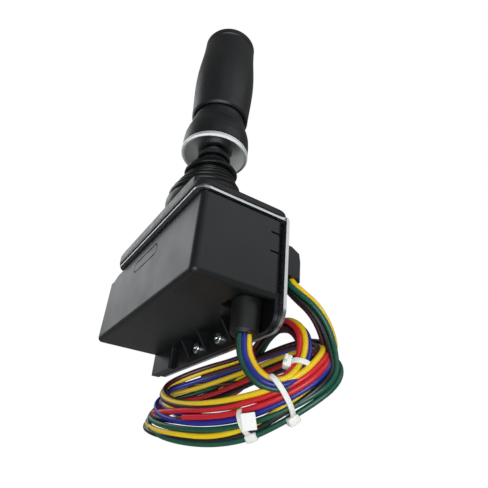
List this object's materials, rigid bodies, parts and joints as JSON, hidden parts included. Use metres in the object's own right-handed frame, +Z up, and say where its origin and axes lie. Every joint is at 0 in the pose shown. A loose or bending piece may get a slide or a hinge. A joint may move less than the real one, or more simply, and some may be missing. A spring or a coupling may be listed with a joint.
{
  "type": "industrial joystick",
  "caption": "Single-axis industrial lever joystick for panel mounting: waisted black grip with pull-to-unlock ring, rubber gaiter, steel bracket, housing and a coiled wire tail.",
  "frame": {"origin": "lever axis at rest, on the top face of the bracket plate, centre of the four panel screws", "axes": "+Z up the lever, +Y along the housing away from the cable gland, +X towards the side flange"},
  "size_m": [0.0803, 0.1404, 0.2509],
  "materials": {
    "zinc_plated_steel": "satin zinc plate",
    "black_nylon": "fine moulded texture",
    "black_rubber": "matt rubber",
    "turned_aluminium": "clear anodised, fine turned",
    "black_soft_touch": "soft touch, satin",
    "bright_steel": "bright plated",
    "cast_aluminium": "as cast, deburred",
    "acetal": "natural acetal",
    "bronze": "sintered bronze",
    "spring_steel": "phosphated wire",
    "board_laminate": "solder resist",
    "component_black": "moulded packages",
    "yellow_wire": "PVC insulation",
    "mixed_wire": "PVC insulation of several colours",
    "natural_nylon": "translucent natural nylon",
    "label_film": "blank film"
  },
  "bodies": {
    "base": {"mounting_bracket": "zinc_plated_steel", "clinch_nuts": "bright_steel", "housing": "black_nylon", "skirt_screws": "bright_steel", "housing_screws": "bright_steel", "frame_screws": "bright_steel", "cable_gland": "black_rubber", "side_strain_relief": "black_nylon", "gaiter_rim": "black_rubber", "gaiter_bellows": "black_rubber", "pivot_frame": "zinc_plated_steel", "gate_plate": "zinc_plated_steel", "pivot_bushes": "bronze", "angle_sensor": "component_black", "circuit_board": "board_laminate", "board_components": "component_black", "board_screws": "bright_steel", "gland_lead": "mixed_wire", "side_lead": "mixed_wire", "wire_coil": "yellow_wire", "return_spring": "spring_steel", "lower_tie": "natural_nylon", "flag_tie": "natural_nylon", "loop_tie": "natural_nylon", "flag_label": "label_film"},
    "lever": {"lever_hub": "cast_aluminium", "pivot_pins": "bright_steel", "lever_tube": "bright_steel", "neck_collar": "black_nylon", "grip_core": "acetal", "grip_sleeve": "black_soft_touch", "grip_nut": "bright_steel", "grip_cap": "black_soft_touch", "lock_spring": "spring_steel"},
    "lock": {"lock_ring": "turned_aluminium", "lock_skirt": "black_nylon", "lock_cross_pin": "bright_steel", "lock_rod": "bright_steel"}
  },
  "joints": [
    {"name": "lever_tilt", "type": "hinge", "parent": "base", "child": "lever", "pos_m": [0, 0, -0.014], "axis": [1, 0, 0], "range_deg": [-20, 20], "stiffness_Nm_per_rad": 0.9, "deforming": ["gaiter_bellows", "return_spring"]},
    {"name": "lock_lift", "type": "slide", "parent": "lever", "child": "lock", "axis": [0, 0, 1], "range_m": [0, 0.004], "stiffness_N_per_m": 800, "deforming": ["lock_spring"]}
  ]
}
